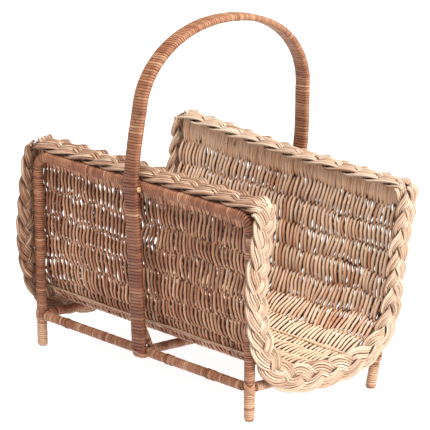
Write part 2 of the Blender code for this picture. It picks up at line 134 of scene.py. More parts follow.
# ------------------------------------------------------------------ mesh builder
class Piece:
    """Gathers rods and strips, with a tone and a fibre coordinate on every point."""

    def __init__(self, name):
        self.name = name
        self.co, self.quads, self.caps = [], [], []
        self.tone, self.fibre, self.shade = [], [], []
        self.count = 0

    def loft(self, rings, tone, fibre, cap=True, shade=1.0):
        """rings: (n, m, 3) closed sections.  tone: (n,) or scalar.  fibre: (n, m, 3).
        shade: painted shade, 1 where the surface is open, lower in crevices and where neighbours cover it."""
        n, m = rings.shape[:2]
        base = self.count
        self.co.append(rings.reshape(-1, 3))
        tone = np.asarray(tone, float)
        tone = np.broadcast_to(tone if tone.ndim == 2 else tone.reshape(-1, 1), (n, m))
        self.tone.append(tone.reshape(-1))
        self.fibre.append(fibre.reshape(-1, 3))
        self.shade.append(np.broadcast_to(np.asarray(shade, float), (n, m)).reshape(-1))
        i = np.arange(n - 1)[:, None] * m
        j = np.arange(m)[None, :]
        j2 = (j + 1) % m
        q = np.stack([i + j, i + j2, i + m + j2, i + m + j], -1).reshape(-1, 4) + base
        self.quads.append(q)
        if cap:
            self.caps.append(np.arange(m)[::-1] + base)
            self.caps.append(np.arange(m) + base + (n - 1) * m)
        self.count += n * m

    def rod(self, path, radius, across=(1, 0, 0), sides=8, tone=0.5, cap=True, flat=1.0,
            transport=False, seed=None, shade=None):
        """A round or slightly flattened rod along a path.  flat: second radius / first.
        shade: painted shade, a number, or a function of the rings giving one value per point."""
        path = np.asarray(path, float)
        t = tangents(path)
        if transport:
            p = np.empty_like(path)
            first = np.cross(t[0], [0.13, 0.71, 0.69])
            p[0] = first / np.linalg.norm(first)
            for k in range(1, len(path)):
                v = p[k - 1] - t[k] * p[k - 1].dot(t[k])
                p[k] = v / np.linalg.norm(v)
        else:
            a = np.broadcast_to(np.asarray(across, float), path.shape)
            p = unit(a - t * (a * t).sum(-1, keepdims=True))
        q = np.cross(t, p)
        ang = TAU * (np.arange(sides) + 0.5) / sides
        r = np.broadcast_to(np.asarray(radius, float), (len(path),))[:, None, None]
        c, s = np.cos(ang)[None, :, None], np.sin(ang)[None, :, None]
        rings = path[:, None] + r * (c * p[:, None] + s * flat * q[:, None])
        length = arc(path)[:, None]
        shift = RNG.uniform(0, 40) if seed is None else seed
        fib = np.stack([np.broadcast_to(length + shift, (len(path), sides)),
                        np.broadcast_to(r[:, :, 0] * np.cos(ang)[None], (len(path), sides)) + shift,
                        np.broadcast_to(r[:, :, 0] * np.sin(ang)[None], (len(path), sides))], -1)
        if callable(tone):
            tone = tone(rings)
        if shade is None:
            shade = 1.0
        elif callable(shade):
            shade = shade(rings)
        self.loft(rings, tone, fib, cap, shade)

    def ribbon(self, centre, out, side, width, thick, tone, rise=0.0):
        """A flat strip: centre is its foot line, out its outward normal, side its width."""
        n = len(centre)
        prof = np.array([(-0.5, 0.0), (-0.5, 0.45), (-0.36, 0.92), (0.0, 1.0),
                         (0.36, 0.92), (0.5, 0.45), (0.5, 0.0)])
        w = np.broadcast_to(np.asarray(width, float), (n,))[:, None, None]
        h = np.broadcast_to(np.asarray(thick, float), (n,))[:, None, None]
        rings = (centre[:, None] + side[:, None] * (prof[None, :, :1] * w)
                 + out[:, None] * (prof[None, :, 1:] * h + rise))
        length = arc(centre)
        shift = RNG.uniform(0, 40)
        fib = np.stack([np.broadcast_to(length[:, None] + shift, (n, 7)),
                        np.broadcast_to(prof[None, :, 0] * w[:, :, 0], (n, 7)) + shift,
                        np.broadcast_to(prof[None, :, 1] * h[:, :, 0] * 0.3, (n, 7))], -1)
        # turned so that the faces point out
        # painted shade: each strip is darker towards its edges, where the turns press together
        groove_painted_shade = np.array([0.30, 0.42, 0.80, 1.0, 0.80, 0.42, 0.30])[None, :]
        if np.dot(np.cross(side[0], out[0]), tangents(centre)[0]) > 0:
            self.loft(rings, tone, fib, shade=groove_painted_shade)
        else:
            self.loft(rings[:, ::-1], tone, fib[:, ::-1], shade=groove_painted_shade)

    def build(self, mat, slot, *replaces, sharp=45.0):
        co = np.concatenate(self.co)
        quads = np.concatenate(self.quads)
        nq = len(quads)
        loops = [quads.reshape(-1)] + list(self.caps)
        totals = np.concatenate([np.full(nq, 4), [len(c) for c in self.caps]]).astype(np.int32)
        loops = np.concatenate(loops).astype(np.int32)
        starts = np.concatenate([[0], np.cumsum(totals)[:-1]]).astype(np.int32)
        me = bpy.data.meshes.new(self.name)
        me.vertices.add(len(co))
        me.vertices.foreach_set("co", co.astype(np.float32).reshape(-1))
        me.loops.add(len(loops))
        me.loops.foreach_set("vertex_index", loops)
        me.polygons.add(len(totals))
        me.polygons.foreach_set("loop_start", starts)
        me.polygons.foreach_set("loop_total", totals)
        me.update(calc_edges=True)
        me.validate()
        tone = me.attributes.new("tone", "FLOAT", "POINT")
        tone.data.foreach_set("value", np.concatenate(self.tone).astype(np.float32))
        fib = me.attributes.new("fibre", "FLOAT_VECTOR", "POINT")
        fib.data.foreach_set("vector", np.concatenate(self.fibre).astype(np.float32).reshape(-1))
        shade = me.attributes.new("shade", "FLOAT", "POINT")
        shade.data.foreach_set("value", np.concatenate(self.shade).astype(np.float32))
        me.shade_smooth()
        me.set_sharp_from_angle(angle=math.radians(sharp))
        ob = bpy.data.objects.new(self.name, me)
        bpy.context.scene.collection.objects.link(ob)
        me.materials.append(mat)
        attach(ob, "root")
        if replaces:
            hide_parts(*replaces)
        return ob


# ------------------------------------------------------------------ materials
def wicker(name, dark, mid, light, rough=0.5, streak=0.35, bump=0.25, knots=0.5, coat=0.0):
    """Peeled willow or cane: tone per rod, long fibre streaks, blotches and dark nodes."""
    mat = bpy.data.materials.new(name)
    mat.use_nodes = True
    nt = mat.node_tree
    nodes, links = nt.nodes, nt.links
    bsdf = nodes["Principled BSDF"]
    bsdf.inputs["Metallic"].default_value = 0.0
    bsdf.inputs["Specular IOR Level"].default_value = 0.45
    if coat:
        bsdf.inputs["Coat Weight"].default_value = coat
        bsdf.inputs["Coat Roughness"].default_value = 0.35

    def node(kind, **props):
        n = nodes.new(kind)
        for k, v in props.items():
            setattr(n, k, v)
        return n

    fib = node("ShaderNodeAttribute", attribute_name="fibre")
    tone = node("ShaderNodeAttribute", attribute_name="tone")

    stretch = node("ShaderNodeVectorMath", operation="MULTIPLY")
    stretch.inputs[1].default_value = (45.0, 1400.0, 1400.0)
    links.new(fib.outputs["Vector"], stretch.inputs[0])
    fine = node("ShaderNodeTexNoise")
    fine.inputs["Scale"].default_value = 1.0
    fine.inputs["Detail"].default_value = 3.0
    links.new(stretch.outputs[0], fine.inputs["Vector"])

    blot_v = node("ShaderNodeVectorMath", operation="MULTIPLY")
    blot_v.inputs[1].default_value = (38.0, 60.0, 60.0)
    links.new(fib.outputs["Vector"], blot_v.inputs[0])
    blot = node("ShaderNodeTexNoise")
    blot.inputs["Scale"].default_value = 1.0
    blot.inputs["Detail"].default_value = 2.0
    links.new(blot_v.outputs[0], blot.inputs["Vector"])

    # tone of the rod, moved by the blotches
    mixed = node("ShaderNodeMath", operation="MULTIPLY_ADD")
    mixed.inputs[1].default_value = 0.55
    links.new(blot.outputs["Fac"], mixed.inputs[0])
    less = node("ShaderNodeMath", operation="SUBTRACT")
    less.inputs[1].default_value = 0.275
    links.new(tone.outputs["Fac"], less.inputs[0])
    links.new(less.outputs[0], mixed.inputs[2])
    ramp = node("ShaderNodeValToRGB")
    ramp.color_ramp.elements[0].position = 0.0
    ramp.color_ramp.elements[0].color = (*dark, 1)
    ramp.color_ramp.elements[1].position = 1.0
    ramp.color_ramp.elements[1].color = (*light, 1)
    e = ramp.color_ramp.elements.new(0.5)
    e.color = (*mid, 1)
    links.new(mixed.outputs[0], ramp.inputs["Fac"])

    # dark and light fibres
    streaks = node("ShaderNodeMapRange")
    streaks.inputs["From Min"].default_value = 0.3
    streaks.inputs["From Max"].default_value = 0.72
    streaks.inputs["To Min"].default_value = 1.0 - streak
    streaks.inputs["To Max"].default_value = 1.0 + streak * 0.45
    links.new(fine.outputs["Fac"], streaks.inputs["Value"])
    coloured = node("ShaderNodeVectorMath", operation="SCALE")
    links.new(ramp.outputs["Color"], coloured.inputs[0])
    links.new(streaks.outputs["Result"], coloured.inputs["Scale"])

    # short dark nodes along the rod
    knot_v = node("ShaderNodeVectorMath", operation="MULTIPLY")
    knot_v.inputs[1].default_value = (120.0, 22.0, 22.0)
    links.new(fib.outputs["Vector"], knot_v.inputs[0])
    knot = node("ShaderNodeTexNoise")
    knot.inputs["Scale"].default_value = 1.0
    knot.inputs["Detail"].default_value = 1.0
    links.new(knot_v.outputs[0], knot.inputs["Vector"])
    knot_r = node("ShaderNodeMapRange")
    knot_r.inputs["From Min"].default_value = 0.68
    knot_r.inputs["From Max"].default_value = 0.78
    knot_r.inputs["To Min"].default_value = 1.0
    knot_r.inputs["To Max"].default_value = 1.0 - knots
    links.new(knot.outputs["Fac"], knot_r.inputs["Value"])
    final = node("ShaderNodeVectorMath", operation="SCALE")
    links.new(coloured.outputs[0], final.inputs[0])
    links.new(knot_r.outputs["Result"], final.inputs["Scale"])
    # painted shade: crevices and covered parts darker and a little redder
    painted_shade_attr = node("ShaderNodeAttribute", attribute_name="shade")
    painted_shade_mix = node("ShaderNodeMix", data_type="RGBA", blend_type="MULTIPLY")
    painted_shade_mix.inputs["Factor"].default_value = 1.0
    painted_shade_tint = node("ShaderNodeValToRGB")
    painted_shade_tint.color_ramp.elements[0].position = 0.0
    painted_shade_tint.color_ramp.elements[0].color = (0.10, 0.045, 0.03, 1)
    painted_shade_tint.color_ramp.elements[1].position = 1.0
    painted_shade_tint.color_ramp.elements[1].color = (1, 1, 1, 1)
    links.new(painted_shade_attr.outputs["Fac"], painted_shade_tint.inputs["Fac"])
    links.new(final.outputs[0], painted_shade_mix.inputs["A"])
    links.new(painted_shade_tint.outputs["Color"], painted_shade_mix.inputs["B"])
    links.new(painted_shade_mix.outputs["Result"], bsdf.inputs["Base Color"])

    rough_r = node("ShaderNodeMapRange")
    rough_r.inputs["To Min"].default_value = rough - 0.10
    rough_r.inputs["To Max"].default_value = rough + 0.14
    links.new(fine.outputs["Fac"], rough_r.inputs["Value"])
    links.new(rough_r.outputs["Result"], bsdf.inputs["Roughness"])

    bump_n = node("ShaderNodeBump")
    bump_n.inputs["Strength"].default_value = bump
    bump_n.inputs["Distance"].default_value = 0.0003
    links.new(fine.outputs["Fac"], bump_n.inputs["Height"])
    links.new(bump_n.outputs["Normal"], bsdf.inputs["Normal"])
    return mat


def plain_wood(name, dark, light, rough=0.6):
    """Rod ends and cores: rings of pores in object space."""
    mat = bpy.data.materials.new(name)
    mat.use_nodes = True
    nt = mat.node_tree
    nodes, links = nt.nodes, nt.links
    bsdf = nodes["Principled BSDF"]
    tex = nodes.new("ShaderNodeTexCoord")
    noise = nodes.new("ShaderNodeTexNoise")
    noise.inputs["Scale"].default_value = 420.0
    noise.inputs["Detail"].default_value = 4.0
    links.new(tex.outputs["Object"], noise.inputs["Vector"])
    ramp = nodes.new("ShaderNodeValToRGB")
    ramp.color_ramp.elements[0].position = 0.35
    ramp.color_ramp.elements[0].color = (*dark, 1)
    ramp.color_ramp.elements[1].position = 0.65
    ramp.color_ramp.elements[1].color = (*light, 1)
    links.new(noise.outputs["Fac"], ramp.inputs["Fac"])
    links.new(ramp.outputs["Color"], bsdf.inputs["Base Color"])
    rr = nodes.new("ShaderNodeMapRange")
    rr.inputs["To Min"].default_value = rough - 0.08
    rr.inputs["To Max"].default_value = rough + 0.12
    links.new(noise.outputs["Fac"], rr.inputs["Value"])
    links.new(rr.outputs["Result"], bsdf.inputs["Roughness"])
    bump = nodes.new("ShaderNodeBump")
    bump.inputs["Strength"].default_value = 0.3
    bump.inputs["Distance"].default_value = 0.0003
    links.new(noise.outputs["Fac"], bump.inputs["Height"])
    links.new(bump.outputs["Normal"], bsdf.inputs["Normal"])
    return mat


FRAME_CANE = wicker("frame_cane", (0.20, 0.062, 0.024), (0.41, 0.165, 0.080), (0.74, 0.45, 0.28),
                    rough=0.46, streak=0.30)
HANDLE_CANE = wicker("handle_cane", (0.20, 0.050, 0.014), (0.42, 0.168, 0.078), (0.66, 0.38, 0.21),
                     rough=0.42, streak=0.32, coat=0.15)
TRAY_WILLOW = wicker("tray_willow", (0.36, 0.130, 0.062), (0.66, 0.335, 0.185), (0.86, 0.59, 0.40),
                     rough=0.45, streak=0.28)
BORDER_WILLOW = wicker("border_willow", (0.30, 0.135, 0.070), (0.71, 0.48, 0.325),
                       (0.88, 0.74, 0.59), rough=0.44, streak=0.26)
LASH_CANE = wicker("lashing_cane", (0.30, 0.12, 0.055), (0.52, 0.26, 0.14), (0.72, 0.46, 0.29),
                   rough=0.45, streak=0.28)
CORE_WOOD = plain_wood("core_rod", (0.20, 0.085, 0.042), (0.40, 0.20, 0.11))


# ------------------------------------------------------------------ cane wound round a rod
def round_section(radius):
    def section(theta):
        return radius * np.cos(theta), radius * np.sin(theta)
    return section


def strap_section(half_w, half_t):
    """Rounded flat strap, walked at an even pace, starting at +p."""
    flat = half_w - half_t
    half_turn = math.pi * half_t
    total = 4 * flat + 2 * half_turn

    def section(theta):
        d = np.mod(theta / TAU * total + half_turn / 2, total)
        p, q = np.empty_like(d), np.empty_like(d)
        a = d < half_turn
        ang = d[a] / half_t - math.pi / 2
        p[a], q[a] = flat + half_t * np.cos(ang), half_t * np.sin(ang)
        b = (d >= half_turn) & (d < half_turn + 2 * flat)
        p[b], q[b] = flat - (d[b] - half_turn), half_t
        c = (d >= half_turn + 2 * flat) & (d < 2 * half_turn + 2 * flat)
        ang = (d[c] - half_turn - 2 * flat) / half_t + math.pi / 2
        p[c], q[c] = -flat + half_t * np.cos(ang), half_t * np.sin(ang)
        e = d >= 2 * half_turn + 2 * flat
        p[e], q[e] = -flat + (d[e] - 2 * half_turn - 2 * flat), -half_t
        return p, q
    return section


def wound(piece, path, across, section, pitch, thick=0.0011, segs=16, tone=0.5, spread=0.16,
          width=None, hand=1, start=0.0, slant=0.0, wobble=0.00012, fade=None, narrow=None):
    """One strip of cane wound along a path, turn beside turn.  narrow(s) scales the
    section's first direction; fade(points) is added to the tone."""
    path = np.asarray(path, float)
    length = arc(path)[-1]
    if not callable(pitch):
        value = pitch
        pitch = lambda s: np.full_like(s, value)
    # turn count as a function of arc length
    ss = np.linspace(0, length, 2000)
    turns = np.concatenate([[0], np.cumsum(np.diff(ss) / pitch((ss[1:] + ss[:-1]) / 2))])
    total = turns[-1]
    n = max(int(total * segs), 8)
    turn = np.linspace(0.5, total - 0.5, n) if total > 2 else np.linspace(0, total, n)
    s = np.interp(turn, turns, ss)
    theta = TAU * turn * hand + start
    local_pitch = pitch(s)
    wob = smooth_noise(total, 0.5, wobble)(turn)
    lift = smooth_noise(total, 1.0, 0.00009)(turn)
    s2 = np.clip(s + wob + slant * np.sin(theta), 0, length)
    base = at(path, s2)
    e = 1e-4
    t = unit(at(path, np.minimum(s2 + e, length)) - at(path, np.maximum(s2 - e, 0)))
    a = np.broadcast_to(np.asarray(across, float), base.shape)
    p_dir = unit(a - t * (a * t).sum(-1, keepdims=True))
    q_dir = np.cross(t, p_dir)
    p, q = section(theta)
    p2, q2 = section(theta + 0.02)
    if narrow is not None:
        p, p2 = p * narrow(s), p2 * narrow(s)
    step = (p2 - p)[:, None] * p_dir + (q2 - q)[:, None] * q_dir
    out = unit(np.cross(step, t)) * 1.0
    radial = p[:, None] * p_dir + q[:, None] * q_dir
    flip = np.sign((out * radial).sum(-1, keepdims=True))
    out = out * flip
    foot = base + radial - out * (thick - lift)[:, None]
    w = (local_pitch * 0.99 if width is None else np.full(n, width))
    w = w * (1 + smooth_noise(total, 1.0, 0.03)(turn))
    tones = tone + smooth_noise(total, 0.9, spread)(turn) + smooth_noise(total, 9, spread * 0.6)(turn)
    if fade is not None:
        tones = tones + fade(foot)
    piece.ribbon(foot, out, t, w, thick, np.clip(tones, 0, 1))


def frame_point(x, s, side):
    x, s = np.broadcast_arrays(np.asarray(x, float), np.asarray(s, float))
    return np.stack([x, side * (FOOT_Y + s * math.sin(LEAN)), s * math.cos(LEAN)], -1)


def post_x(s):
    return FOOT_X + (TOP_X - FOOT_X) * s / TOP_S


BEND_S = TOP_S - CORNER_R
BEND_X = post_x(BEND_S)


def bend(end, side, n=14):
    a = np.linspace(0, math.pi / 2, n)
    return frame_point(end * (BEND_X - CORNER_R + CORNER_R * np.cos(a)),
                       BEND_S + CORNER_R * np.sin(a), side)


def side_frames():
    for word, side in (("near", -1), ("far", 1)):
        normal = np.array([0.0, math.cos(LEAN), -side * math.sin(LEAN)])
        for name, end in (("left", -1), ("right", 1)):
            low, high = 0.0010, BEND_S + 0.0010
            path = np.stack([frame_point(end * post_x(low), low, side),
                             frame_point(end * post_x(high), high, side)])
            piece = Piece("%s_%s_post_cane" % (word, name))
            pale = 0.50 if (side, end) == (-1, 1) else 0.80
            body = 0.45 if (side, end) == (-1, 1) else 0.36
            wound(piece, path, normal, round_section(POST_R), 0.0031, hand=end,
                  start=RNG.uniform(0, TAU), tone=body, spread=0.17,
                  fade=lambda at_: pale * np.clip((0.060 - at_[:, 2]) / 0.045, 0, 1))
            piece.build(FRAME_CANE, "frame_cane", "%s_%s_post_wrap" % (word, name))
        bar = np.concatenate([frame_point(-BEND_X, BEND_S - 0.0012, side)[None], bend(-1, side),
                              bend(1, side)[::-1], frame_point(BEND_X, BEND_S - 0.0012, side)[None]])
        piece = Piece(word + "_top_bar_cane")
        wound(piece, bar, normal, round_section(POST_R), 0.0034, tone=0.34, spread=0.14, start=1.0)
        piece.build(FRAME_CANE, "frame_cane", word + "_top_bar_wrap")


def rail_piece(name, start, end, tone=0.45):
    piece = Piece(name)
    start, end = np.asarray(start, float), np.asarray(end, float)
    path = np.stack([start, end])
    length = np.linalg.norm(end - start)
    wound(piece, path, (0, 0, 1), round_section(RAIL_R), 0.0033, tone=tone, spread=0.17,
          start=RNG.uniform(0, TAU))
    return piece


def rail_bands(piece, xs, side):
    """A few tighter turns where a new length of cane starts on a long rail."""
    for x, tone in xs:
        a = np.linspace(0, TAU * 2.1, 60)
        centre = np.stack([x + 0.0026 * a / TAU, np.full(60, side * RAIL_Y), np.full(60, RAIL_Z)], -1)
        out = np.stack([np.zeros(60), np.cos(a), np.sin(a)], -1)
        foot = centre + out * (RAIL_R - 0.0002)
        along = np.broadcast_to(np.array([1.0, 0, 0]), foot.shape)
        piece.ribbon(foot, out, along, 0.0024, 0.0009, np.full(60, tone))


def bottom_rails():
    half = post_x(RAIL_S) - POST_R - 0.0009
    for word, side in (("near", -1), ("far", 1)):
        piece = rail_piece(word + "_long_rail_cane", (-half, side * RAIL_Y, RAIL_Z),
                           (half, side * RAIL_Y, RAIL_Z), 0.50)
        rail_bands(piece, ((-0.1420, 0.15), (0.0450, 0.10), (0.0520, 0.62), (0.1180, 0.15),
                           (0.1260, 0.55)), side)
        piece.build(FRAME_CANE, "frame_cane", word + "_long_rail_wrap")
    low = RAIL_Z - RAIL_R
    end_y = FOOT_Y + low * math.tan(LEAN) - POST_R / math.cos(LEAN) - 0.0009
    mid_y = RAIL_Y - RAIL_R - 0.0009
    for word, x, y, tone in (("left", -post_x(RAIL_S), end_y, 0.5), ("middle", MIDDLE_X, mid_y, 0.62),
                             ("right", post_x(RAIL_S), end_y, 0.75)):
        piece = rail_piece(word + "_cross_rail_cane", (x, -y, RAIL_Z), (x, y, RAIL_Z), tone)
        piece.build(FRAME_CANE, "frame_cane", word + "_cross_rail_wrap")


def handle_leg(z):
    z = np.asarray(z, float)
    f = (z - RAIL_Z) / (TOP_Z - RAIL_Z)
    return np.stack([0.0070 - 0.0110 * f, -(HANDLE_LOW_Y + HANDLE_SLOPE * (z - RAIL_Z)), z], -1)


def handle_path():
    near = [handle_leg(z) for z in (0.0372, 0.1000, 0.1600, 0.2200, TOP_Z)]
    near.append(np.array([-0.0040, -(HANDLE_BAR_Y + 0.0006), 0.3050]))
    arch = []
    for k in range(17):
        a = math.pi * k / 16
        c, s = math.cos(a), math.sin(a)
        e = 2 / 2.1
        arch.append(np.array([-0.0040, -0.1577 * math.copysign(abs(c) ** e, c),
                              0.3610 + (0.4743 - 0.3610) * abs(s) ** e]))
    far = [np.array([p[0], -p[1], p[2]]) for p in reversed(near)]
    path = catmull(near + arch + far, 16)
    return at(path, np.linspace(0, arc(path)[-1], 400))


def handle():
    path = handle_path()
    total = arc(path)[-1]
    path = at(path, np.linspace(0.0012, total - 0.0012, 400))
    total = arc(path)[-1]
    piece = Piece("handle_cane_winding")

    def pitch(s):
        low = np.minimum(s, total - s)
        return np.interp(low, [0.0, 0.10, 0.22, 0.50], [0.0046, 0.0044, 0.0037, 0.0036])

    def narrow(s):
        low = np.clip(np.minimum(s, total - s) / 0.0145, 0, 1)
        return 0.50 + 0.50 * low ** 0.6

    def fade(points):
        """Painted shade: the leg in front is painted darkest, both legs darker lower down, the arch palest."""
        z = points[:, 2]
        near = np.where(points[:, 1] < 0, 1.0, 0.22)
        return -0.50 * near * np.clip((0.335 - z) / 0.080, 0, 1)
    wound(piece, path, (1, 0, 0), strap_section(HALF_W, HALF_T), pitch, segs=26, tone=0.52,
          spread=0.15, thick=0.0011, narrow=narrow, fade=fade)
    piece.build(HANDLE_CANE, "handle_cane", "handle_wrap")
    # the three rods inside, cut to the wrapping's tapered feet
    piece = Piece("handle_core")
    for p, reach in ((-0.0072, 0.0105), (0.0, 0.0), (0.0072, 0.0105)):
        rods = at(path, np.linspace(reach, total - reach, 240))
        piece.rod(rods + np.array([p, 0, 0]), 0.0033, sides=10, tone=0.3)
    piece.build(HANDLE_CANE, "handle_cane", "handle_left_rod", "handle_middle_rod",
                "handle_right_rod")


def handle_braces():
    for word, side in (("near", -1), ("far", 1)):
        top = np.array([0.006, side * 0.1325, 0.0785])
        foot = np.array([0.006, side * 0.1168, RAIL_Z + RAIL_R + 0.0012])
        piece = Piece(word + "_brace_cane")
        d = unit(foot - top)
        path = np.stack([top + d * 0.001, foot - d * 0.001])
        piece.rod(np.stack([top + d * 0.0005, foot - d * 0.0004]), 0.0033, sides=12, tone=0.4)
        wound(piece, path, (1, 0, 0), round_section(0.0043), 0.0031, tone=0.5, spread=0.3)
        piece.build(FRAME_CANE, "frame_cane", word + "_handle_brace")


# ------------------------------------------------------------------ woven tray
def wall_y(z):
    top = TOP_Y - POST_R / math.cos(LEAN) - TRAY_T / 2 - 0.0004
    return top - (TOP_Z - z) * math.tan(LEAN)


def tray_line():
    p0 = np.array([-wall_y(TRAY_BEND_Z), TRAY_BEND_Z])
    p3 = np.array([-FLOOR_Y, FLOOR_Z])
    p1 = p0 + 0.0373 * np.array([math.sin(LEAN), -math.cos(LEAN)])
    p2 = p3 + np.array([-0.0442, 0.0])
    t = np.linspace(0, 1, 40)[:, None]
    curve = p0 * (1 - t) ** 3 + p1 * 3 * t * (1 - t) ** 2 + p2 * 3 * t * t * (1 - t) + p3 * t ** 3
    top = np.array([[-wall_y(TRAY_TOP_Z), TRAY_TOP_Z]])
    half = np.concatenate([top, curve])
    other = half[::-1] * np.array([-1, 1])
    return np.concatenate([half, other])


TRAY = tray_line()
TRAY_L = arc(TRAY)[-1]
TRAY_PITCH = TRAY_L / STAKES


def tray_at(s):
    """Centre (y, z) and outward normal of the U at arc length s."""
    e = 0.002
    s = np.asarray(s, float)
    c = at(TRAY, s)
    d = unit(at(TRAY, np.minimum(s + e, TRAY_L)) - at(TRAY, np.maximum(s - e, 0)))
    return c, np.stack([d[..., 1], -d[..., 0]], -1)


class Field:
    """Smooth random field over (x, s), the slow drift of a hand weave."""

    def __init__(self, nx, ns, amount):
        self.g = RNG.normal(0, amount, (nx, ns))

    def __call__(self, x, s):
        nx, ns = self.g.shape
        u = np.clip((x + 0.2) / 0.4, 0, 1) * (nx - 1.001)
        v = np.clip(s / TRAY_L, 0, 1) * (ns - 1.001)
        u, v = np.broadcast_arrays(u, v)
        i, j = np.floor(u).astype(int), np.floor(v).astype(int)
        f, g = u - i, v - j
        f, g = f * f * (3 - 2 * f), g * g * (3 - 2 * g)
        G = self.g
        return ((G[i, j] * (1 - f) + G[i + 1, j] * f) * (1 - g)
                + (G[i, j + 1] * (1 - f) + G[i + 1, j + 1] * f) * g)


DRIFT = Field(9, 21, 0.0027)
FINE_DRIFT = Field(34, 42, 0.0006)
SAG = Field(9, 20, 0.0022)
TONES = Field(14, 20, 0.12)

WEAVERS = 116
WEAVE_HALF = 0.1950
WEAVE_R = 0.00190            # half width of a rod in the wall
WEAVE_FLAT = 0.84            # its thickness over its width
STAKE_R = 0.0021
AMP = STAKE_R + WEAVE_R * WEAVE_FLAT
INWARD = 0.0010              # the weave sits this far inside the wall's middle line
STAKE_PITCH = (TRAY_L - 2 * FIRST_STAKE) / (STAKES - 1)


def far_rim_z(x):
    """Middle height of the far rim, which has risen at its left end in use."""
    return np.interp(x, [-0.20, -0.10, 0.0, 0.10, 0.20], [0.2945, 0.2878, 0.2815, 0.2790, 0.2780])


def surface(x, s, lift):
    c, n = tray_at(s)
    lift = lift - INWARD
    y = c[..., 0] + n[..., 0] * lift
    z = c[..., 1] + n[..., 1] * lift
    z = z + (far_rim_z(x) - 0.2810) * np.clip((z - 0.150) / 0.125, 0, 1) * (y > 0)
    return np.stack(np.broadcast_arrays(x, y, z), -1)


def wall_depth(rings, s):
    """Signed distance of each point from the weave's middle surface, outwards."""
    c, n = tray_at(s)
    return ((rings[..., 1] - c[:, None, 0]) * n[:, None, 0]
            + (rings[..., 2] - c[:, None, 1]) * n[:, None, 1] + INWARD)


def wall_shade(s, lift, path_x):
    """Painted shade: dark where a rod passes behind its neighbours, and on its sides."""
    reach = np.abs(lift)[:, None] + WEAVE_R * WEAVE_FLAT

    def shade(rings):
        f = np.clip((np.abs(wall_depth(rings, s)) / reach - 0.36) / 0.46, 0, 1)
        f = f * f * (3 - 2 * f)
        side = np.clip(np.abs(rings[..., 0] - path_x[:, None]) / WEAVE_R, 0, 1)
        return (0.02 + 0.98 * f) * (1 - 0.52 * side ** 4)
    return shade


def wall_tone_with_painted_light(s, tone):
    """Painted light and shade: the outside of the tray is painted darker and its inside paler, the inside of
    its floor palest.
    """
    c, _ = tray_at(s)
    painted_light_floor = np.clip((0.075 - c[..., 1]) / 0.015, 0, 1)[:, None]

    def value(rings):
        d = np.clip(wall_depth(rings, s) / 0.003, -1, 1)
        base = np.asarray(tone).reshape(-1, 1) + 0.07 - 0.26 * d + 0.09 * (d < 0)
        return np.clip(base + 0.30 * painted_light_floor * (d < 0), 0, 1)
    return value


CROSSING = [smooth_noise(TRAY_L, 0.028, 0.0014) for _ in range(WEAVERS)]


def weave_lift(x0, i, s):
    phase = 1 if i % 2 else -1
    turn = math.pi * ((s + SAG(x0, s) + CROSSING[i](s) - FIRST_STAKE) / STAKE_PITCH)
    wave = np.cos(turn)
    return AMP * phase * np.sign(wave) * np.abs(wave) ** 0.75


def weave_x(x0, s):
    hold = np.clip((0.197 - abs(x0)) / 0.045, 0.06, 1)
    top = np.clip(np.minimum(s, TRAY_L - s) / 0.03, 0.15, 1)
    # low on the near wall the rods lean together before they turn under
    swing = np.clip((s - 0.105) / 0.085, 0, 1)
    back = np.clip((s - 0.215) / 0.060, 0, 1)
    lean = 0.0085 * (swing * swing * (3 - 2 * swing) - back * back * (3 - 2 * back))
    return x0 + hold * (top * (DRIFT(x0, s) + FINE_DRIFT(x0, s)) + lean)


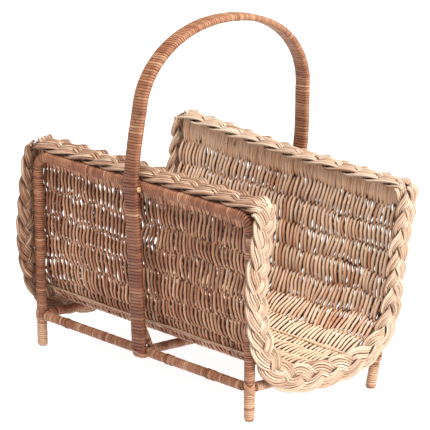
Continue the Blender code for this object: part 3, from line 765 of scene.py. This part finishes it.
def tray():
    xs = np.linspace(-WEAVE_HALF, WEAVE_HALF, WEAVERS)
    step = 0.0024
    n = int(TRAY_L / step)
    s = np.linspace(0.0005, TRAY_L - 0.0005, n)
    for k, group in enumerate(np.array_split(np.arange(WEAVERS), 6)):
        piece = Piece("tray_weave_%d" % (k + 1))
        for i in group:
            x0 = xs[i]
            x = weave_x(x0, s) + smooth_noise(TRAY_L, 0.024, 0.00052)(s)
            lift = weave_lift(x0, i, s)
            r = WEAVE_R * (1 + RNG.normal(0, 0.06))
            radius = r * (1 + smooth_noise(TRAY_L, 0.05, 0.05)(s))
            inner = np.clip((s - 0.5 * TRAY_L) / 0.04 + 0.5, 0, 1)
            radius = radius * (1 + (0.05 + 0.29 * inner) * (np.abs(lift) / AMP) ** 0.6)
            tone = np.clip(0.5 + RNG.normal(0, 0.14) + TONES(x0, s)
                           + smooth_noise(TRAY_L, 0.03, 0.06)(s), 0.02, 0.98)
            piece.rod(surface(x, s, lift), radius, sides=8, tone=wall_tone_with_painted_light(s, tone),
                      flat=WEAVE_FLAT, shade=wall_shade(s, lift, x))
        piece.build(TRAY_WILLOW, "tray_willow", "woven_tray")
    # lengthwise stakes
    piece = Piece("tray_stakes")
    for k in range(STAKES):
        sk = FIRST_STAKE + k * STAKE_PITCH
        x = np.linspace(-0.1975, 0.1975, 60)
        shift = np.array([SAG(a, sk) for a in x]) * -1.0
        # painted shade: the stakes are darkened all along, as they lie behind the weavers
        piece.rod(surface(x, sk + shift, smooth_noise(0.4, 0.05, 0.00015, start=-0.2)(x)),
                  STAKE_R * (1 + RNG.normal(0, 0.05)), across=(0, 0.6, 0.8), sides=9,
                  tone=float(np.clip(RNG.normal(0.42, 0.12), 0, 1)), shade=0.55)
    piece.build(TRAY_WILLOW, "tray_willow", *["stake_%02d" % k for k in range(1, 19)])
    # border rods thrust down beside the weavers at the top of both walls
    for word, at_end in (("near", 0), ("far", 1)):
        piece = Piece(word + "_wall_rod_ends")
        for i in range(WEAVERS):
            x0 = xs[i]
            depth = 0.0265 + RNG.normal(0, 0.0025)
            d = np.linspace(0.0008, depth, 16)
            sd = d if at_end == 0 else TRAY_L - d
            taken = weave_lift(x0, i, np.array([FIRST_STAKE if at_end == 0
                                                else TRAY_L - FIRST_STAKE]))[0]
            lift = -math.copysign(AMP, taken) * (1 - 0.45 * np.clip((d - depth + 0.012) / 0.012, 0, 1))
            x = weave_x(x0, sd) + RNG.normal(0, 0.00025) + smooth_noise(0.04, 0.012, 0.0002)(d)
            r = WEAVE_R * (1 + RNG.normal(0, 0.07))
            taper = np.clip((depth - d) / 0.005, 0.5, 1)
            order = slice(None) if at_end == 0 else slice(None, None, -1)
            tone = np.full(len(sd), np.clip(0.5 + RNG.normal(0, 0.16), 0, 1))
            piece.rod(surface(x, sd, lift)[order], (r * taper)[order], sides=8, flat=WEAVE_FLAT,
                      tone=wall_tone_with_painted_light(sd[order], tone),
                      shade=wall_shade(sd[order], lift[order], x[order]))
        piece.build(TRAY_WILLOW, "tray_willow")


def find_s(test):
    s = np.linspace(0, TRAY_L, 4001)
    c, _ = tray_at(s)
    return s[np.argmax(test(c))]


def seams():
    outer = find_s(lambda c: c[:, 1] < 0.0840)
    inner = find_s(lambda c: c[:, 0] > -0.0490)
    for word, s0, way, r in (("near_outer", outer, 1, 0.0015), ("far_outer", TRAY_L - outer, 1, 0.0015),
                             ("near_inner", inner, -1, 0.0016), ("far_inner", TRAY_L - inner, -1, 0.0016)):
        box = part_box(word + "_seam_rod")
        x = np.linspace(box[0].x, box[1].x, 90)
        s = s0 + smooth_noise(0.4, 0.06, 0.0006, start=-0.2)(x)
        lift = way * (0.0048 + r + smooth_noise(0.4, 0.03, 0.0001, start=-0.2)(x))
        piece = Piece(word + "_seam")
        x = np.linspace(box[0].x, box[1].x, 420)
        s = s0 + smooth_noise(0.4, 0.06, 0.0008, start=-0.2)(x)
        lift = way * (0.0048 + r + smooth_noise(0.4, 0.03, 0.0001, start=-0.2)(x))
        for half in (0, 1):
            a = TAU * x / 0.0136 + math.pi * half + smooth_noise(0.4, 0.02, 0.25, start=-0.2)(x)
            piece.rod(surface(x, s + 0.00085 * np.cos(a), lift + 0.00060 * np.sin(a)), 0.00095,
                      across=(0, 0.6, 0.8), sides=8, tone=0.30 if "outer" in word else 0.55)
        piece.build(BORDER_WILLOW, "border_willow", word + "_seam_rod")


# ------------------------------------------------------------------ plaited border
END_PATH = [(-0.1400, 0.2560), (-0.1440, 0.2150), (-0.1450, 0.1850),
            (-0.1410, 0.1550), (-0.1330, 0.1250), (-0.1150, 0.0860), (-0.0840, 0.0590),
            (-0.0440, 0.0470), (0.0000, 0.0450), (0.0400, 0.0470), (0.0680, 0.0515),
            (0.0950, 0.0620), (0.1140, 0.0780), (0.1250, 0.1000), (0.1290, 0.1250),
            (0.1295, 0.1550), (0.1310, 0.1850), (0.1350, 0.2150), (0.1400, 0.2560)]


def plait(name, node, rows, wavelength, thick, skew, place, flip=1.0, rods=6):
    """One flat plait of three strands, each a band of rods laid side by side.
    rows: x y z, facing direction, half width.  flip puts the steep crossings on the inner side."""
    dense = catmull(np.array(rows, float), 24)
    along = arc(dense[:, :3])
    length = along[-1]
    u = np.linspace(0, length, int(length / 0.0026))
    data = np.stack([np.interp(u, along, dense[:, k]) for k in range(7)], -1)
    centre, half = data[:, :3], data[:, 6]
    t = tangents(centre)
    lateral = unit(np.cross(unit(data[:, 3:6]), t)) * flip
    normal = np.cross(t, lateral) * flip
    d, r0 = 0.00310, 0.00170
    # the strands lie longer where the plait turns under the floor
    stretch = 1 + 0.45 * np.clip((0.120 - centre[:, 2]) / 0.05, 0, 1)
    turn = np.concatenate([[0.0], np.cumsum(np.diff(u) * TAU / (wavelength * stretch[1:]))])
    ps, qs, phases = [], [], []
    for k in range(3):
        a = turn + TAU * k / 3 + smooth_noise(length, 0.07, 0.09)(u)
        a = a + skew * np.sin(a - 0.75 * math.pi)
        w = (half - 0.0093) * (1 + smooth_noise(length, 0.05, 0.04)(u))
        ps.append(w * (np.sin(a) - 0.05 * np.sin(3 * a)) / 1.05)
        qs.append(-thick * np.sin(2 * a))
        phases.append(a)
    place = np.broadcast_to(place(centre) if callable(place) else place, u.shape)
    for k in range(3):
        piece = Piece("%s_strand_%d" % (name, k + 1))
        slope = np.gradient(ps[k], u)
        norm = np.sqrt(1 + slope ** 2)
        other = [j for j in range(3) if j != k]
        for m in range(rods):
            off = m - (rods - 1) / 2
            delta = off * d * (1 + 0.16 * np.sin(phases[k]) ** 2) + smooth_noise(length, 0.035, 0.00032)(u)
            du, dp = -slope / norm * delta, delta / norm
            roll = 0.18 * np.sin(phases[k])
            bulge = (0.0005 * (1 - (off / 2.5) ** 2) * np.cos(phases[k]) ** 2
                     * np.clip(qs[k] / 0.0015, -1, 1))
            reach = ps[k] + dp * np.cos(roll)
            past = np.maximum(np.abs(reach) - (half - 0.0036), 0)
            reach = reach - np.sign(reach) * 0.50 * past          # pulled in where it folds
            path = (centre + t * du[:, None] + lateral * reach[:, None]
                    + normal * (qs[k] - dp * np.sin(roll) + bulge)[:, None])
            r = r0 * (1 + RNG.normal(0, 0.04)) * (1 + smooth_noise(length, 0.09, 0.035)(u))
            tone = np.clip(0.56 + RNG.normal(0, 0.11) + smooth_noise(length, 0.05, 0.10)(u)
                           + place, 0, 1)
            lane = unit(lateral + t * (-slope)[:, None])
            keep = np.flatnonzero((u >= RNG.uniform(0, 0.003)) & (u <= length - RNG.uniform(0, 0.003)))

            # painted shade: darker on the rods' sides and where another strand lies over them
            def shade(rings):
                rel = rings - centre[keep, None]
                across = (rel * lateral[keep, None]).sum(-1)
                local = rings - path[keep, None]
                facing = (local * normal[keep, None]).sum(-1) / r[keep, None]
                side = np.abs((local * lane[keep, None]).sum(-1)) / r[keep, None]
                value = 1 - 0.60 * np.clip(side, 0, 1) ** 3
                for j in other:
                    over = np.sign(facing) * (qs[j] - qs[k])[keep, None]
                    cover = np.clip((0.0098 - np.abs(across - ps[j][keep, None])) / 0.0030, 0, 1)
                    value = value * (1 - 0.90 * cover * np.clip(over / 0.0020, 0, 1))
                return np.clip(value, 0.04, 1)
            piece.rod(path[keep], r[keep], sides=8, tone=tone[keep], transport=True, shade=shade)
        piece.build(BORDER_WILLOW, "border_willow", node)


SPREAD_Z = [0.059, 0.086, 0.125, 0.155, 0.185, 0.215, 0.256]
SPREAD = [0.0040, 0.0075, 0.0065, 0.0045, 0.0025, 0.0035, 0.0050]


def border():
    """Four plaits: one on each long rim, and one round each open end of the tray."""
    top_w, end_w = 0.0165, 0.0203
    # place: tone offset of each rim's plait; the near rim's -0.29 is painted shade
    for word, side, angle, place in (("near", -1, 25, -0.29), ("far", 1, 10, -0.02)):
        tilt = math.radians(angle)
        rows = []
        for x in np.linspace(-0.1985, 0.1985, 11):
            z = 0.2850 if side < 0 else float(far_rim_z(x))
            rows.append([x, side * 0.1395, z, 0, -math.sin(tilt), math.cos(tilt), top_w])
        last = rows[-1][2]
        rows.append([0.2040, side * 0.1393, last - 0.0012, 0.15, -math.sin(tilt), 0.89, top_w])
        rows.append([0.2078, side * 0.1388, last - 0.0042, 0.42, -math.sin(tilt), 0.80, top_w - 0.001])

        def painted_shade_and_cut_ends(c, place=place, side=side):
            # the rods' fresh cut ends show where the near rim stops
            return place + (0.40 if side < 0 else 0.0) * np.clip((c[:, 0] - 0.186) / 0.012, 0, 1)
        plait(word + "_top_plait", word + "_top_braid", rows, 0.1060, 0.0029, 0.34, painted_shade_and_cut_ends)
    over = [(0.1990, 0.2812, 0.25, 0.92), (0.2036, 0.2800, 0.60, 0.74), (0.2060, 0.2765, 0.90, 0.40),
            (END_X, 0.2700, 1.0, 0.05)]           # each end folds inwards under the long rims
    for word, end in (("left", -1), ("right", 1)):
        lift = float(far_rim_z(0.2 * end)) - 0.2850
        wide = 1.0 if end < 0 else 0.0           # the left end has spread at its near side
        rows = [[end * x, -0.1395 - 0.0035 * wide, z, end * nx, -0.4 * nz, nz, end_w] for x, z, nx, nz in over]
        rows += [[end * END_X, y - wide * (y < -0.05) * float(np.interp(z, SPREAD_Z, SPREAD)), z,
                  end, 0, 0, end_w] for y, z in END_PATH[:-1]]
        rows.append([end * END_X, END_PATH[-1][0], END_PATH[-1][1] + 0.6 * lift, end, 0, 0, end_w])
        rows += [[end * x, 0.1398, z + lift, end * nx, -0.15 * nz, nz, end_w]
                 for x, z, nx, nz in over[::-1]]
        if end < 0:
            rows = rows[::-1]

            # painted shade: the left end's near leg is toned darker towards the near side
            def place(c):
                return -0.08 - 0.34 * np.clip((-0.05 - c[:, 1]) / 0.04, 0, 1)
        else:
            place = -0.05
        plait(word + "_end_plait", word + "_end_braid", rows, 0.0780, 0.0030, 0.20, place)


# ------------------------------------------------------------------ lashings
def band(piece, points, outs, width, thick, tone):
    path = np.asarray(points, float)
    out = unit(np.asarray(outs, float))
    t = tangents(path)
    side = unit(np.cross(t, out))
    out = unit(np.cross(side, t))
    piece.ribbon(path, out, side, width, thick, tone)


def corner_lashings():
    for word, side in (("near", -1), ("far", 1)):
        for name, end in (("left", -1), ("right", 1)):
            piece = Piece("%s_%s_corner_lashing_cane" % (word, name))
            axis = unit(frame_point(end * post_x(0.06), 0.06, side)
                        - frame_point(end * post_x(0.03), 0.03, side))
            mid = frame_point(end * post_x(RAIL_S), RAIL_S, side)
            ex = unit(np.array([1.0, 0, 0]) - axis * axis[0])
            ey = np.cross(axis, ex)
            aim = math.atan2(side, end)
            for k, (z0, z1, rise) in enumerate((
                    (-0.0082, 0.0046, 0.0), (-0.0050, 0.0078, 0.0),
                    (0.0082, -0.0046, 0.0004), (0.0050, -0.0078, 0.0004),
                    (-0.0012, 0.0012, 0.0008))):
                a = np.linspace(-math.radians(62), math.radians(62), 18)
                z = z0 + (z1 - z0) * (a - a[0]) / (a[-1] - a[0])
                ang = aim + a
                rad = np.cos(ang)[:, None] * ex + np.sin(ang)[:, None] * ey
                band(piece, mid + axis * z[:, None] + rad * (POST_R + 0.0001 + rise), rad,
                     0.0029, 0.0008, np.clip(0.55 + RNG.normal(0, 0.1, 18), 0, 1))
            piece.build(LASH_CANE, "lashing_cane", "%s_%s_corner_lashing" % (word, name))


def handle_lashings():
    section = strap_section(HALF_W + 0.0002, HALF_T + 0.0002)
    for word, side in (("near", -1), ("far", 1)):
        for place, zc, lines in (
                ("base", RAIL_Z, ((0.0000, -0.0045), (0.0035, -0.0010), (0.0065, -0.0035))),
                ("top", TOP_Z, ((-0.0034, -0.0018), (0.0008, 0.0026)))):
            piece = Piece("%s_handle_%s_lashing_cane" % (word, place))
            lo, hi = handle_leg(zc - 0.006), handle_leg(zc + 0.006)
            mid = handle_leg(zc)
            if side > 0:
                lo, hi, mid = (v * np.array([1, -1, 1]) for v in (lo, hi, mid))
            axis = unit(hi - lo)
            ex = unit(np.array([1.0, 0, 0]) - axis * axis[0])
            ey = np.cross(axis, ex) * (1 if np.cross(axis, ex)[1] * side > 0 else -1)
            for k, (z0, z1) in enumerate(lines):
                w, t = HALF_W + 0.0002, HALF_T + 0.0002
                if place == "base":
                    low_z = 0.5 * (z0 + z1)
                    w = 0.0118 * (0.50 + 0.50 * max((low_z + 0.0067) / 0.0145, 0) ** 0.6) + 0.0002
                pts = [(-w, -0.0042), (-w, t - 0.0030), (-w + 0.0012, t - 0.0010),
                       (-w + 0.0034, t), (0, t + 0.0001), (w - 0.0034, t),
                       (w - 0.0012, t - 0.0010), (w, t - 0.0030), (w, -0.0042)]
                pts = catmull(np.array(pts), 4)
                f = arc(pts) / arc(pts)[-1]
                z = z0 + (z1 - z0) * f
                d = tangents(pts)
                nrm = np.stack([-d[:, 1], d[:, 0]], -1)
                rise = 0.0004 if place == "base" and k >= 2 else 0.0
                path = (mid + ex * pts[:, :1] + ey * pts[:, 1:] + axis * z[:, None])
                outs = ex * nrm[:, :1] + ey * nrm[:, 1:]
                band(piece, path + outs * rise, outs, 0.0030, 0.0007,
                     np.clip((0.12 if place == "top" else 0.30) + RNG.normal(0, 0.05, len(path)), 0, 1))
            if place == "top":
                # the knot where the binding is tucked in, on the strap's edge
                a = np.linspace(0, TAU * 1.3, 40)
                spot = mid + ex * (HALF_W + 0.0006) + axis * -0.0035
                loop = (spot + axis * (0.0022 * np.sin(a))[:, None]
                        + ey * (0.0020 * np.cos(a) - 0.0005)[:, None]
                        + ex * (0.0005 * a / TAU)[:, None])
                piece.rod(loop, 0.0011, sides=8, tone=1.0, transport=True)
            piece.build(HANDLE_CANE if place == "top" else LASH_CANE, "lashing_cane",
                        "%s_handle_%s_lashing" % (word, place))


side_frames()
bottom_rails()
handle()
handle_braces()
tray()
seams()
border()
corner_lashings()
handle_lashings()
for name, ob in NODES.items():
    if name.endswith("_rod") and "seam" not in name or name.endswith("_rail"):
        for sl in ob.material_slots:
            sl.material = CORE_WOOD

# ------------------------------------------------------------------ stage, lights, camera
floor_mesh = bpy.data.meshes.new("floor")
F = 30.0
floor_mesh.from_pydata([(-F, -F, -0.0004), (F, -F, -0.0004), (F, F, -0.0004), (-F, F, -0.0004)],
                       [], [(0, 1, 2, 3)])
floor = bpy.data.objects.new("floor", floor_mesh)
bpy.context.scene.collection.objects.link(floor)
floor_mat = bpy.data.materials.new("floor_white")
floor_mat.use_nodes = True
floor_mat.node_tree.nodes["Principled BSDF"].inputs["Base Color"].default_value = (0.28, 0.28, 0.28, 1)
floor_mat.node_tree.nodes["Principled BSDF"].inputs["Emission Color"].default_value = (1, 1, 1, 1)
floor_mat.node_tree.nodes["Principled BSDF"].inputs["Emission Strength"].default_value = 0.92
floor_mat.node_tree.nodes["Principled BSDF"].inputs["Roughness"].default_value = 0.9
floor_mat.node_tree.nodes["Principled BSDF"].inputs["Specular IOR Level"].default_value = 0.1
floor_mesh.materials.append(floor_mat)

world = bpy.data.worlds.new("studio")
bpy.context.scene.world = world
world.use_nodes = True
bg = world.node_tree.nodes["Background"]
bg.inputs["Color"].default_value = (1.0, 1.0, 1.0, 1)
bg.inputs["Strength"].default_value = 0.36


def sun(name, azimuth, elevation, strength, spread, colour=(1, 1, 1)):
    """A broad soft light far away, from a compass direction (0 = -Y, 90 = +X)."""
    data = bpy.data.lights.new(name, "SUN")
    data.energy = strength
    data.angle = math.radians(spread)
    data.color = colour
    ob = bpy.data.objects.new(name, data)
    bpy.context.scene.collection.objects.link(ob)
    a, e = math.radians(azimuth), math.radians(elevation)
    towards = Vector((math.sin(a) * math.cos(e), -math.cos(a) * math.cos(e), math.sin(e)))
    ob.rotation_mode = "QUATERNION"
    ob.rotation_quaternion = towards.to_track_quat("Z", "Y")
    return ob


sun("top_softbox", 35, 75, 3.3, 45)
sun("side_softbox", 90, 28, 3.3, 30, (1.0, 0.985, 0.965))

cam_data = bpy.data.cameras.new("camera")
cam = bpy.data.objects.new("camera", cam_data)
bpy.context.scene.collection.objects.link(cam)
bpy.context.scene.camera = cam
az, el, roll = math.radians(41.9942), math.radians(13.9044), math.radians(4.5281)
back = Vector((math.sin(az) * math.cos(el), -math.cos(az) * math.cos(el), math.sin(el)))
right = Vector((math.cos(az), math.sin(az), 0.0))
up = back.cross(right)
r2 = right * math.cos(roll) + up * math.sin(roll)
u2 = up * math.cos(roll) - right * math.sin(roll)
pos = Vector((2.16810, -2.41188, 1.01185))
cam.matrix_world = Matrix(((r2.x, u2.x, back.x, pos.x), (r2.y, u2.y, back.y, pos.y),
                           (r2.z, u2.z, back.z, pos.z), (0, 0, 0, 1)))
cam_data.sensor_width = 36.0
cam_data.lens = 2525.5468 / 430 * 36.0
cam_data.clip_start, cam_data.clip_end = 0.05, 100.0

bpy.context.scene.view_settings.view_transform = "Standard"
bpy.context.scene.view_settings.look = "None"
